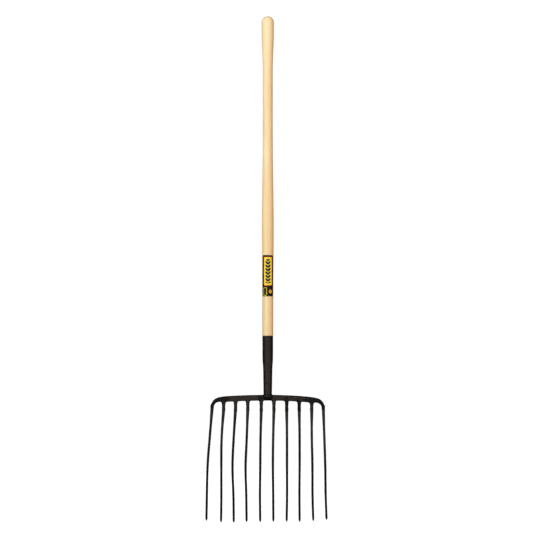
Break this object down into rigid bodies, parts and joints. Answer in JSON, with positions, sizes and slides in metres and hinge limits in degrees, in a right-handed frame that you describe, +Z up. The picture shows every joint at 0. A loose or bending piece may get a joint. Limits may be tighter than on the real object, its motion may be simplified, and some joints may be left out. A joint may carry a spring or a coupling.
{
  "type": "ten-tine fork",
  "caption": "Long-handled fork: a turned ash handle with a swelled butt, a tapered steel ferrule, and a forged arched crossbar with long tines curving forward.",
  "frame": {"origin": "on the handle's axis, where the straight butt meets its domed top", "axes": "+Z up along the handle, tines pointing down; -Y is the hollow working side of the head and carries the label; +X is across the head"},
  "size_m": [0.4139, 0.0842, 1.7173],
  "materials": {
    "handle_wood": "clear lacquered pale ash",
    "black_steel": "semi-gloss black paint over forged steel",
    "black_tine": "semi-gloss black paint over drawn steel",
    "black_weld": "black paint over a rough weld",
    "nail_steel": "dull bare steel",
    "label_print": "printed vinyl sticker"
  },
  "bodies": {
    "root": {"handle": "handle_wood", "ferrule": "black_steel", "ferrule_nail": "nail_steel", "tang": "black_steel", "neck_weld": "black_weld", "head_bar": "black_steel", "tine_welds": "black_weld", "label": "label_print", "tine_01": "black_tine", "tine_02": "black_tine", "tine_03": "black_tine", "tine_04": "black_tine", "tine_05": "black_tine", "tine_06": "black_tine", "tine_07": "black_tine", "tine_08": "black_tine", "tine_09": "black_tine", "tine_10": "black_tine"}
  },
  "joints": []
}
